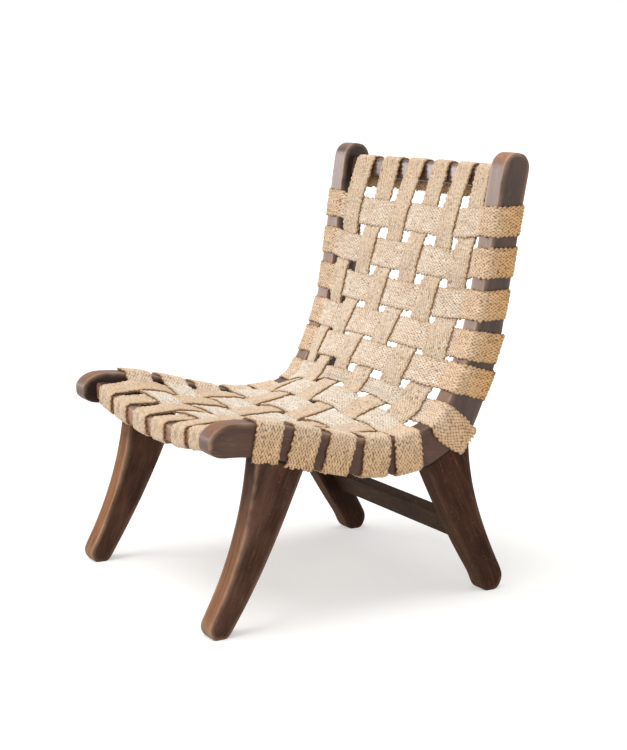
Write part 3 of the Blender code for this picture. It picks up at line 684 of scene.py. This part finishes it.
def strap(name, rows, paleness):
    """Webbing from rows of middle-surface points: evenly respaced, with grains, scalloped edges, ragged cut
    ends and a thickness. The paleness given for each row tells how pale its upper side is. Gives the piece
    and its length."""
    rows = np.asarray(rows, float)
    centre = rows[:, rows.shape[1] // 2]
    along = np.concatenate(([0], np.cumsum(np.linalg.norm(np.diff(centre, axis=0), axis=1))))
    step = WEFT / WEFT_STEPS
    count = int(round(along[-1] / step)) + 1
    at = np.linspace(0, along[-1], count)
    coarse = np.stack([[np.interp(at, along, rows[:, c, i]) for i in range(3)]
                       for c in range(rows.shape[1])])
    coarse = coarse.transpose(2, 0, 1)
    for _ in range(SMOOTH_PASSES):
        coarse[1:-1] = (coarse[:-2] + 2 * coarse[1:-1] + coarse[2:]) / 4
    paleness = np.interp(at, along, paleness)
    wide = YARNS * YARN_STEPS + 1
    column = np.linspace(0, 1, wide)
    held = np.linspace(0, 1, coarse.shape[1])
    grid = np.stack([[np.interp(column, held, coarse[r, :, i]) for r in range(count)]
                     for i in range(3)], -1)
    across = grid[:, -1] - grid[:, 0]
    across /= np.linalg.norm(across, axis=1, keepdims=True)
    lengthwise = np.gradient(grid, axis=0)
    normal = np.cross(lengthwise, across[:, None])
    normal /= np.linalg.norm(normal, axis=2, keepdims=True)
    yarn = np.minimum(np.arange(wide) // YARN_STEPS, YARNS - 1)
    slip = wavering(count, *STRAP_SLIP) + np.stack([wavering(count, *YARN_SLIP) for _ in range(YARNS)])
    plump = 1 + np.stack([wavering(count, *YARN_PLUMP) for _ in range(YARNS)])[yarn].T
    upper = grains(column * YARNS, at / WEFT, slip, 1) * plump
    lower = grains(column * YARNS, at / WEFT, slip, -1) * plump
    upper[:, [0, -1]] = lower[:, [0, -1]] = EDGE_RELIEF
    edge = np.abs(column - 0.5) * 2
    beyond = np.clip((edge - ROUND_START) / ROUND_SPAN, 0, 1)
    half = STRAP_THICK / 2 * np.sqrt(np.clip(1 - beyond ** 2, ROUND_LEAST, 1))
    stray = np.zeros((count, wide))
    for c, side in ((0, -1), (wide - 1, 1)):
        bumps = SCALLOP * (1 + np.cos(np.pi * at / WEFT + side)) + wavering(count, *EDGE_WANDER)
        for near in range(YARN_STEPS):
            stray[:, c - side * near] = side * bumps * (1 - near / YARN_STEPS)
    grid = grid + across[:, None] * (stray + wavering(count, *SIDE_WANDER)[:, None])[..., None]
    for end, row in ((0, 2), (-1, -3)):
        loose = chance.uniform(0, RAGGED, YARNS)[yarn]
        outward = grid[end] - grid[row]
        outward /= np.linalg.norm(outward, axis=1, keepdims=True)
        grid[end] += outward * loose[:, None]
    top = grid + normal * (half + RELIEF * (upper - RELIEF_MIDDLE))[..., None]
    base = grid - normal * (half + RELIEF * (lower - RELIEF_MIDDLE))[..., None]
    mesh = bpy.data.meshes.new(name)
    number = np.arange(count * wide).reshape(count, wide)
    more = number + count * wide
    faces = [np.stack((number[:-1, :-1], number[1:, :-1], number[1:, 1:], number[:-1, 1:]), -1),
             np.stack((more[:-1, :-1], more[:-1, 1:], more[1:, 1:], more[1:, :-1]), -1)]
    faces = [side.reshape(-1, 4) for side in faces]
    rim = np.concatenate((number[0, :-1], number[:-1, -1], number[-1, :0:-1], number[:0:-1, 0]))
    after = np.roll(rim, -1)
    faces.append(np.stack((rim, after, after + count * wide, rim + count * wide), -1))
    points = splayed(np.concatenate((top.reshape(-1, 3), base.reshape(-1, 3))))
    mesh.from_pydata(points, [], np.concatenate(faces))
    # The relief also sets the colour: painted shade in the pits and along the rims
    set_attribute(mesh, "relief", np.concatenate((upper.ravel(), lower.ravel())))
    shown = paleness[:, None] * np.where(edge < RIM_START, 1, RIM_PALED)
    set_attribute(mesh, "paleness", np.concatenate((shown.ravel(), np.full(count * wide, UNDER_PALED))))
    selvedge = np.clip((edge - SELVEDGE_START) / SELVEDGE_SPAN, 0, 1)
    set_attribute(mesh, "selvedge", np.tile(selvedge, 2 * count))
    unrolled = np.stack((np.tile(column * STRAP_WIDTH, count), np.repeat(at, wide)), -1)
    layer = mesh.uv_layers.new(name="unrolled")
    corners = np.empty(len(mesh.loops), int)
    mesh.loops.foreach_get("vertex_index", corners)
    layer.data.foreach_set("uv", unrolled[corners % (count * wide)].astype(np.float32).ravel())
    mesh.shade_smooth()
    obj = bpy.data.objects.new(name, mesh)
    bpy.context.scene.collection.objects.link(obj)
    return obj, along[-1]


TURN_STEPS = 6


def round_corner(member, tilt, radius, corner):
    """Points round one corner of a rail at half a strap's thickness off it, anticlockwise from the back."""
    y, z, thick, tall = member
    i, j = ((1, 1), (-1, 1), (-1, -1), (1, -1))[corner]
    turns = np.radians(np.linspace(90 * corner, 90 * corner + 90, TURN_STEPS))
    u = i * (thick / 2 - radius) + (radius + LIFT) * np.cos(turns)
    v = j * (tall / 2 - radius) + (radius + LIFT) * np.sin(turns)
    c, s = math.cos(math.radians(tilt)), math.sin(math.radians(tilt))
    return np.stack((y + c * u + s * v, z - s * u + c * v), -1)


def jute(name, tan, pale):
    """Two-inch webbing of raw jute, coarse and dull: from straw-tan to pale, as an attribute of the piece
    says, with painted shade in the pits between its grains and along its rims, hairy fibres along the yarns
    and browner selvedges."""
    material, shader = new_material(name)
    unrolled = add(material, "UVMap", {"uv_map": "unrolled"})
    place = add(material, "TexCoord")
    relief = add(material, "Attribute", {"attribute_name": "relief"})
    paleness = add(material, "Attribute", {"attribute_name": "paleness"})
    selvedge = add(material, "Attribute", {"attribute_name": "selvedge"})
    # Fibres 0.5 mm wide and 5 mm long, strands 2.8 mm by 30 mm, tufts of 12 mm, and stains of 70 mm
    fibre_place = add(material, "Mapping", {"Scale": (1 / 0.0005, 1 / 0.005, 1), "Rotation": (0, 0, 0.35)},
                      {"Vector": unrolled.outputs[0]})
    fibres = noise(material, 1.0, 2.0, fibre_place.outputs[0])
    strand_place = add(material, "Mapping", {"Scale": (1 / 0.0028, 1 / 0.03, 1)},
                       {"Vector": unrolled.outputs[0]})
    strands = noise(material, 1.0, 1.0, strand_place.outputs[0])
    tufts = noise(material, 1 / 0.012, 2.0, place.outputs["Object"])
    stains = noise(material, 1 / 0.07, 2.0, place.outputs["Object"])
    yarn = add(material, "MixRGB", {"Color1": colour(tan), "Color2": colour(pale)},
               {"Fac": paleness.outputs["Fac"]})
    tuft = add(material, "MapRange", {"From Min": 0.35, "From Max": 0.75, "To Max": 0.35},
               {"Value": tufts.outputs["Fac"]})
    tufted = add(material, "MixRGB", {"Color2": colour("#D9B58C")},
                 {"Fac": tuft.outputs[0], "Color1": yarn.outputs[0]})
    fibre = add(material, "MapRange", {"From Min": 0.35, "From Max": 0.7, "To Min": 0.82, "To Max": 1.06},
                {"Value": fibres.outputs["Fac"]})
    strand = add(material, "MapRange", {"From Min": 0.3, "From Max": 0.7, "To Min": 0.76, "To Max": 1.12},
                 {"Value": strands.outputs["Fac"]})
    hairy = add(material, "Math", {"operation": "MULTIPLY"}, {0: fibre.outputs[0], 1: strand.outputs[0]})
    lit = add(material, "MixRGB", {"blend_type": "MULTIPLY", "Fac": 1.0},
              {"Color1": tufted.outputs[0], "Color2": hairy.outputs[0]})
    darkening = add(material, "MapRange", {"From Min": 0.55, "From Max": 0.8, "To Max": 0.35},
                {"Value": stains.outputs["Fac"]})
    stained = add(material, "MixRGB", {"Color2": colour("#C99B6B")},
                  {"Fac": darkening.outputs[0], "Color1": lit.outputs[0]})
    browner = add(material, "Math", {"operation": "MULTIPLY", 1: 0.45}, {0: selvedge.outputs["Fac"]})
    edged = add(material, "MixRGB", {"Color2": colour("#A77F4E")},
                {"Fac": browner.outputs[0], "Color1": stained.outputs[0]})
    # Painted shade: the colour turns deep brown in the pits and along the rims, where the relief is low
    pit = add(material, "MapRange", {"From Min": 0.10, "From Max": 0.62, "To Min": 0.95, "To Max": 0.0},
              {"Value": relief.outputs["Fac"]})
    deep = add(material, "MixRGB", {"Color1": colour("#58360C"), "Color2": colour("#8E6830")},
               {"Fac": paleness.outputs["Fac"]})
    pitted = add(material, "MixRGB", {},
                 {"Fac": pit.outputs[0], "Color1": edged.outputs[0], "Color2": deep.outputs[0]})
    hairs = add(material, "Bump", {"Strength": 0.5, "Distance": 0.0006}, {"Height": fibres.outputs["Fac"]})
    links = material.node_tree.links
    links.new(pitted.outputs[0], shader.inputs["Base Color"])
    links.new(hairs.outputs[0], shader.inputs["Normal"])
    shader.inputs["Roughness"].default_value = 0.9
    shader.inputs["Specular IOR Level"].default_value = 0.2
    shader.inputs["Sheen Weight"].default_value = 0.3
    shader.inputs["Sheen Roughness"].default_value = 0.5
    return material


STRAP_COLUMNS = 7
ROW_STEP = 0.003
# How far the woven length goes on past the first and the last cross strap
WOVEN_BEFORE = 0.016
WOVEN_AFTER = 0.030
# How pale the straps are: on their turns, and at places along the frames' edge. The first rows are
# hidden behind the front rail.
TURN_PALED = 0.6
PALED_AT = (0.1, 0.3, 0.5, 0.8)
LONG_PALED = (0.55, 0.7, 0.85, 0.7)
HIDDEN_ROWS = 6
long_webbing = jute("raw_jute_webbing_lengthwise", "#DCAD74", "#E4D5C3")
shares = np.linspace(-0.5, 0.5, STRAP_COLUMNS)
for j in range(1, len(LONG_FRONT) + 1):
    levels = [over(j, k) for k in range(1, len(CROSS_AT) + 1)]
    s = np.arange(CROSS_AT[0] - WOVEN_BEFORE, CROSS_AT[-1] + WOVEN_AFTER, ROW_STEP)
    columns = []
    for share in shares:
        centre = np.interp(s, (0, ALONG[-1]), (LONG_FRONT[j - 1], LONG_TOP[j - 1]))
        x = centre - share * STRAP_WIDTH
        woven = webbing_place(x, s, weave_level(s, np.array(CROSS_AT), levels))
        y, z, thick, tall = FRONT_RAIL
        tail = np.array(((y + thick / 2 + LIFT, z - tall / 2 + FRONT_TUCK),))
        turns = [round_corner(FRONT_RAIL, FRONT_RAIL_ANGLE, RAIL_ROUND, corner)[::-1]
                 for corner in (3, 2, 1)]
        front = np.vstack([tail] + turns)
        dipped = front[:, 1] - FRONT_RAIL_DIP * arch(x[0])
        front = np.column_stack((np.full(len(front), x[0]), front[:, 0], dipped))
        turns = [round_corner(TOP_RAIL, TOP_RAIL_ANGLE, RAIL_ROUND, corner)[::-1] for corner in (1, 0)]
        top = np.vstack(turns)
        fall = TOP_RAIL[3] + TOP_TAIL
        lean = math.radians(TOP_RAIL_ANGLE)
        hang = top[-1] - fall * np.array((math.sin(lean), math.cos(lean)))
        top = np.vstack((top, hang))
        bowed = top[:, 0] + TOP_RAIL_BOW * arch(x[-1])
        top = np.column_stack((np.full(len(top), x[-1]), bowed, top[:, 1]))
        columns.append((front, woven, top))
    rows = np.concatenate([np.stack([c[i] for c in columns], 1) for i in range(3)])
    paled = np.concatenate((np.full(len(columns[0][0]), TURN_PALED), np.interp(s, PALED_AT, LONG_PALED),
                            np.full(len(columns[0][2]), TURN_PALED)))
    paled[:HIDDEN_ROWS] = 0
    piece, length = strap(f"lengthwise_webbing_{j}", rows, paled)
    fit(piece, long_webbing, "jute_webbing", f"long_strap_{j}")

# Crosswise webbing: eleven straps of the same jute, woven through the lengthwise ones, drawn over both side
# frames and down their outer faces. Three end there on a cut edge, the others turn under and are tacked.
ENDS_ON_FACE = (1, 2, 6)
BACK_STRAPS = range(7, 12)
BACK_STRAP_RISE = 0.009
CROSS_TUCK = 0.030
FRAME_CLEAR = 0.016
# Where a strap's points lie on an outer face, in shares of the frame's depth, and round the inner arris
FACE_STEPS = (0.3, 0.6)
CUT_STEPS = (0.3, 0.6, 0.9)
INNER_TURN = np.radians((135, 110, 90))
# How pale the straps are on the outer faces: at the lower edge, halfway up, and at the upper edge
SEAT_FLANK = (0.25, 0.30, 0.6)
BACK_FLANK = (0.0, 0.08, 0.55)
CUT_REACH = 0.004
# How far each strap sags towards the seat, and how sharply that ends at the frames
SAG = (0, 0, 0, 0, 0, 0.002, 0.003, 0.004, 0.008, 0.010, 0.010)
SAG_POWER = 6


def end_path(k, deep):
    """(x, up) points of a cross strap's end on the left side, from the frame's inner arris outwards."""
    bend = ARRIS + LIFT
    turns = np.radians(np.linspace(90, 0, TURN_STEPS))
    shoulder = [(HALF_WIDTH - ARRIS + bend * math.cos(a), -ARRIS + bend * math.sin(a)) for a in turns]
    inner = [(INNER + ARRIS + bend * math.cos(a), -ARRIS + bend * math.sin(a))
             for a in INNER_TURN]
    outer = HALF_WIDTH + LIFT
    path = inner + shoulder
    if k in ENDS_ON_FACE:
        path += [(outer, -deep * t) for t in CUT_STEPS] + [(outer, -deep - CUT_REACH)]
    else:
        path += [(outer, -deep * t) for t in FACE_STEPS]
        turns = np.radians(np.linspace(0, -90, TURN_STEPS))
        path += [(HALF_WIDTH - ARRIS + bend * math.cos(a), ARRIS - deep + bend * math.sin(a))
                 for a in turns]
        path.append((HALF_WIDTH - CROSS_TUCK, -deep - LIFT))
    return np.array(path)


def over_frame(k, s, share, path, deep):
    """(x, y, z) points of a cross strap's end on the left side."""
    middle = CROSS_AT[k - 1]
    down = np.clip(-path[:, 1] / deep, 0, 1)
    rise = (BACK_STRAP_RISE if k in BACK_STRAPS else 0) * down
    curved = on_frame(s + rise, path[:, 1])
    heading = np.array([np.interp(middle, ALONG, HEADING[:, i]) for i in (0, 1)])
    heading /= np.linalg.norm(heading)
    straight = on_frame(middle + rise, path[:, 1]) + heading * (share * STRAP_WIDTH)
    blend = down[:, None]
    return np.column_stack((path[:, 0], curved * (1 - blend) + straight * blend))


seat_webbing = jute("raw_jute_webbing_seat", "#E7B57A", "#EADFD0")
back_webbing = jute("raw_jute_webbing_back", "#E7B57A", "#EFDDCA")
for k in range(1, len(CROSS_AT) + 1):
    columns = []
    deep = np.interp(CROSS_AT[k - 1], ALONG, DEEP)
    path = end_path(k, deep)
    for share in shares:
        s_end = CROSS_AT[k - 1] + share * STRAP_WIDTH
        centres = np.interp(s_end, (0, ALONG[-1]), (0, 1)) * (np.array(LONG_TOP) - LONG_FRONT) + LONG_FRONT
        x = np.arange(-INNER + FRAME_CLEAR, INNER - FRAME_CLEAR, ROW_STEP)
        levels = [-over(j, k) for j in range(1, len(LONG_FRONT) + 1)]
        level = weave_level(x, centres, levels)
        woven = webbing_place(x, s_end - SAG[k - 1] * (1 - (x / INNER) ** SAG_POWER), level)
        left = over_frame(k, s_end, share, path, deep)
        right = left[::-1] * (-1, 1, 1)
        columns.append((right, woven, left))
    rows = np.concatenate([np.stack([c[i] for c in columns], 1) for i in range(3)])
    flank = np.interp(path[:, 1], (-deep, -deep / 2, 0), BACK_FLANK if k in BACK_STRAPS else SEAT_FLANK)
    paled = np.concatenate((flank[::-1], np.ones(len(x)), flank))
    piece, length = strap(f"crosswise_webbing_{k:02d}", rows, paled)
    fit(piece, back_webbing if k in BACK_STRAPS else seat_webbing, "jute_webbing", f"cross_strap_{k:02d}")

# The floor, a plain white sweep, and a soft studio light: a broad key from above and ahead, a low side lamp
# from the sitter's front right, a fill from the sitter's front left, and an even white surround.
FLOOR_LIFT = 0.415


def to_the_eye(owner):
    """Adds nodes that give 1 to rays seen straight, mirrored or through something clear, and 0 to others."""
    rays = add(owner, "LightPath")
    seen = add(owner, "Math", {"operation": "MAXIMUM"},
               {0: rays.outputs["Is Camera Ray"], 1: rays.outputs["Is Glossy Ray"]})
    return add(owner, "Math", {"operation": "MAXIMUM"},
               {0: seen.outputs[0], 1: rays.outputs["Is Transmission Ray"]})


bpy.ops.object.select_all(action="DESELECT")
bpy.ops.mesh.primitive_plane_add(size=60)
floor = bpy.context.object
floor.name = "floor"
paint, paint_shader = new_material("white_studio_paint")
paint_shader.inputs["Base Color"].default_value = colour("#D9D8D5")
paint_shader.inputs["Roughness"].default_value = 1.0
paint_shader.inputs["Specular IOR Level"].default_value = 0.0
paint_shader.inputs["Emission Color"].default_value = (1, 1, 1, 1)
# To the eye the sweep is overexposed to white, so that only the chair's own shadow is left on it
paint_lift = add(paint, "MapRange", {"To Max": FLOOR_LIFT}, {"Value": to_the_eye(paint).outputs[0]})
paint.node_tree.links.new(paint_lift.outputs[0], paint_shader.inputs["Emission Strength"])
floor.data.materials.append(paint)

# Where each lamp shines from, its strength, and how wide it looks from the chair in degrees
LAMPS = {"key": ((-0.06, -0.62, 1.95), 2.15, 44),
         "side": ((-0.86, -0.52, 0.10), 0.95, 24),
         "fill": ((0.82, -0.52, 0.35), 0.8, 24)}
for name, (source, energy, breadth) in LAMPS.items():
    light = bpy.data.lights.new(name, "SUN")
    light.energy = energy
    light.angle = math.radians(breadth)
    lamp = bpy.data.objects.new(name, light)
    lamp.rotation_euler = Vector(source).to_track_quat("Z", "Y").to_euler()
    bpy.context.scene.collection.objects.link(lamp)

# The surround's strength as a light, and as it is seen
SURROUND_LIGHT = 0.48
SURROUND_SEEN = 1.0
world = bpy.data.worlds.new("surround")
world.use_nodes = True
bpy.context.scene.world = world
surround = world.node_tree.nodes["Background"]
surround.inputs["Color"].default_value = (1, 1, 1, 1)
level = add(world, "MapRange", {"To Min": SURROUND_LIGHT, "To Max": SURROUND_SEEN},
            {"Value": to_the_eye(world).outputs[0]})
world.node_tree.links.new(level.outputs[0], surround.inputs["Strength"])

# The camera, at the photograph's place: off the sitter's front left, a little higher than the chair, and
# looking slightly down.
CAMERA_PLACE = (2.651, -1.4025, 0.886)
CAMERA_AZIMUTH = 61.41
CAMERA_DOWN = 9.77
CAMERA_LENS = 81.14
camera = bpy.data.cameras.new("camera")
camera.lens = CAMERA_LENS
camera.sensor_width = 36
viewer = bpy.data.objects.new("camera", camera)
viewer.location = CAMERA_PLACE
viewer.rotation_euler = (math.radians(90 - CAMERA_DOWN), 0, math.radians(CAMERA_AZIMUTH))
bpy.context.scene.collection.objects.link(viewer)
bpy.context.scene.camera = viewer
bpy.context.scene.view_settings.view_transform = "Standard"
